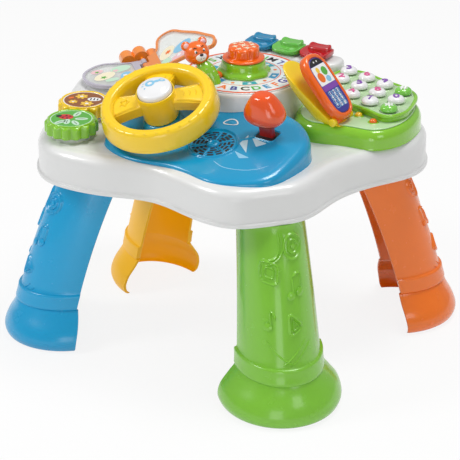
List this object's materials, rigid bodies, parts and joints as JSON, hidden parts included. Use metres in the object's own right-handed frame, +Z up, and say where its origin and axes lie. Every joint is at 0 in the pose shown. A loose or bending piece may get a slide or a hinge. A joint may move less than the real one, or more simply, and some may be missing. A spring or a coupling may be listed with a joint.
{
  "type": "musical activity table",
  "caption": "Toddler's activity table: cloud-shaped play top on splayed channel legs with steering wheel, gear lever, cogs, letter dial, keypad phone, piano keys and book.",
  "frame": {"origin": "on the floor, under the middle of the bounding box", "axes": "+Z up; -Y towards the driver's seat side; +X towards the telephone side"},
  "size_m": [0.5622, 0.4764, 0.4165],
  "materials": {
    "blue_gloss": "glossy translucent-looking key",
    "blue_plastic": "smooth moulded plastic",
    "clear_sheet": "clear printed page",
    "dark_plastic": "speaker cone behind the grille",
    "display_print": "printed display",
    "green_gloss": "glossy translucent-looking key",
    "green_plastic": "smooth moulded plastic",
    "lilac_plastic": "page edge",
    "orange_gloss": "glossy moulded plastic",
    "orange_lens": "light lens",
    "orange_plastic": "smooth moulded plastic",
    "pale_green": "satin panel",
    "red_plastic": "glossy moulded plastic",
    "screw_steel": "plated screws",
    "white_gloss": "glossy with printed symbols",
    "white_shell": "smooth satin moulded plastic",
    "yellow_lens": "light lens",
    "yellow_plastic": "smooth moulded plastic"
  },
  "bodies": {
    "table": {"base_cover": "white_shell", "battery_hatch": "white_shell", "bear_body": "green_plastic", "bear_head": "orange_gloss", "book_spine": "orange_gloss", "cover_screws": "screw_steel", "driving_console": "blue_plastic", "keypad_plateau": "green_plastic", "knob_collar": "green_plastic", "leg_back_left": "yellow_plastic", "leg_back_right": "orange_plastic", "leg_front_left": "blue_plastic", "leg_front_right": "green_plastic", "letter_ring": "white_gloss", "light_orange": "orange_lens", "light_yellow": "yellow_lens", "page_dome": "white_gloss", "phone_cradle": "yellow_plastic", "phone_station": "green_plastic", "speaker": "dark_plastic", "station_panel": "pale_green", "table_shell": "white_shell"},
    "wheel": {"steering_wheel": "yellow_plastic"},
    "horn": {"horn_button": "white_gloss"},
    "lever": {"gear_stem": "red_plastic", "gear_knob": "orange_gloss"},
    "front_cog": {"cog_front": "green_plastic"},
    "rear_cog": {"cog_rear": "yellow_plastic"},
    "crown": {"crown_knob": "orange_gloss"},
    "phone": {"handset": "orange_gloss", "handset_display": "display_print"},
    "lying_page": {"page_lying_rim": "lilac_plastic", "page_lying_sheet": "clear_sheet"},
    "raised_page": {"page_raised_rim": "orange_gloss", "page_raised_sheet": "clear_sheet"},
    "piano_blue": {"piano_key_blue": "blue_gloss"},
    "piano_green": {"piano_key_green": "green_gloss"},
    "piano_red": {"piano_key_red": "red_plastic"},
    "button_3": {"key_3": "white_gloss"},
    "button_2": {"key_2": "white_gloss"},
    "button_1": {"key_1": "white_gloss"},
    "button_6": {"key_6": "white_gloss"},
    "button_5": {"key_5": "white_gloss"},
    "button_4": {"key_4": "white_gloss"},
    "button_9": {"key_9": "white_gloss"},
    "button_8": {"key_8": "white_gloss"},
    "button_7": {"key_7": "white_gloss"},
    "button_hash": {"key_hash": "green_gloss"},
    "button_0": {"key_0": "white_gloss"},
    "button_star": {"key_star": "green_gloss"}
  },
  "joints": [
    {"name": "wheel_turn", "type": "hinge", "parent": "table", "child": "wheel", "pos_m": [-0.022, -0.116, 0.356], "axis": [0, -0.342, 0.9397], "range_deg": [-60, 60]},
    {"name": "horn_press", "type": "slide", "parent": "wheel", "child": "horn", "axis": [0, 0.342, -0.9397], "range_m": [0, 0.003], "stiffness_N_per_m": 500, "springref_m": -0.002},
    {"name": "lever_shift", "type": "hinge", "parent": "table", "child": "lever", "pos_m": [0.117, -0.06271, 0.31756], "axis": [1, 0, 0], "range_deg": [-15, 15]},
    {"name": "cog_front_spin", "type": "hinge", "parent": "table", "child": "front_cog", "pos_m": [-0.13776, -0.15747, 0.307], "axis": [0, 0, 1], "continuous": true},
    {"name": "cog_rear_spin", "type": "hinge", "parent": "table", "child": "rear_cog", "pos_m": [-0.16624, -0.09353, 0.307], "axis": [0, 0, 1], "continuous": true},
    {"name": "crown_spin", "type": "hinge", "parent": "table", "child": "crown", "pos_m": [0.007, 0.042, 0.38], "axis": [0, 0, 1], "continuous": true},
    {"name": "handset_lift", "type": "hinge", "parent": "table", "child": "phone", "pos_m": [0.168, 0.036, 0.3305], "axis": [0, 1, 0], "range_deg": [-10, 30]},
    {"name": "lying_page_turn", "type": "hinge", "parent": "table", "child": "lying_page", "pos_m": [-0.197, 0.085, 0.32], "axis": [-0.7314, 0.682, 0], "range_deg": [0, 25]},
    {"name": "raised_page_turn", "type": "hinge", "parent": "table", "child": "raised_page", "pos_m": [-0.197, 0.085, 0.32], "axis": [0.7314, -0.682, 0], "range_deg": [0, 80]},
    {"name": "piano_blue_press", "type": "slide", "parent": "table", "child": "piano_blue", "axis": [0, 0, -1], "range_m": [0, 0.0035], "stiffness_N_per_m": 400, "springref_m": -0.002},
    {"name": "piano_green_press", "type": "slide", "parent": "table", "child": "piano_green", "axis": [0, 0, -1], "range_m": [0, 0.0035], "stiffness_N_per_m": 400, "springref_m": -0.002},
    {"name": "piano_red_press", "type": "slide", "parent": "table", "child": "piano_red", "axis": [0, 0, -1], "range_m": [0, 0.0035], "stiffness_N_per_m": 400, "springref_m": -0.002},
    {"name": "button_3_press", "type": "slide", "parent": "table", "child": "button_3", "axis": [0, 0, -1], "range_m": [0, 0.0014], "stiffness_N_per_m": 400, "springref_m": -0.001},
    {"name": "button_2_press", "type": "slide", "parent": "table", "child": "button_2", "axis": [0, 0, -1], "range_m": [0, 0.0014], "stiffness_N_per_m": 400, "springref_m": -0.001},
    {"name": "button_1_press", "type": "slide", "parent": "table", "child": "button_1", "axis": [0, 0, -1], "range_m": [0, 0.0014], "stiffness_N_per_m": 400, "springref_m": -0.001},
    {"name": "button_6_press", "type": "slide", "parent": "table", "child": "button_6", "axis": [0, 0, -1], "range_m": [0, 0.0014], "stiffness_N_per_m": 400, "springref_m": -0.001},
    {"name": "button_5_press", "type": "slide", "parent": "table", "child": "button_5", "axis": [0, 0, -1], "range_m": [0, 0.0014], "stiffness_N_per_m": 400, "springref_m": -0.001},
    {"name": "button_4_press", "type": "slide", "parent": "table", "child": "button_4", "axis": [0, 0, -1], "range_m": [0, 0.0014], "stiffness_N_per_m": 400, "springref_m": -0.001},
    {"name": "button_9_press", "type": "slide", "parent": "table", "child": "button_9", "axis": [0, 0, -1], "range_m": [0, 0.0014], "stiffness_N_per_m": 400, "springref_m": -0.001},
    {"name": "button_8_press", "type": "slide", "parent": "table", "child": "button_8", "axis": [0, 0, -1], "range_m": [0, 0.0014], "stiffness_N_per_m": 400, "springref_m": -0.001},
    {"name": "button_7_press", "type": "slide", "parent": "table", "child": "button_7", "axis": [0, 0, -1], "range_m": [0, 0.0014], "stiffness_N_per_m": 400, "springref_m": -0.001},
    {"name": "button_hash_press", "type": "slide", "parent": "table", "child": "button_hash", "axis": [0, 0, -1], "range_m": [0, 0.0014], "stiffness_N_per_m": 400, "springref_m": -0.001},
    {"name": "button_0_press", "type": "slide", "parent": "table", "child": "button_0", "axis": [0, 0, -1], "range_m": [0, 0.0014], "stiffness_N_per_m": 400, "springref_m": -0.001},
    {"name": "button_star_press", "type": "slide", "parent": "table", "child": "button_star", "axis": [0, 0, -1], "range_m": [0, 0.0014], "stiffness_N_per_m": 400, "springref_m": -0.001}
  ],
  "couplings": [
    {"joint": "cog_rear_spin", "follows": "cog_front_spin", "ratio": -1}
  ]
}
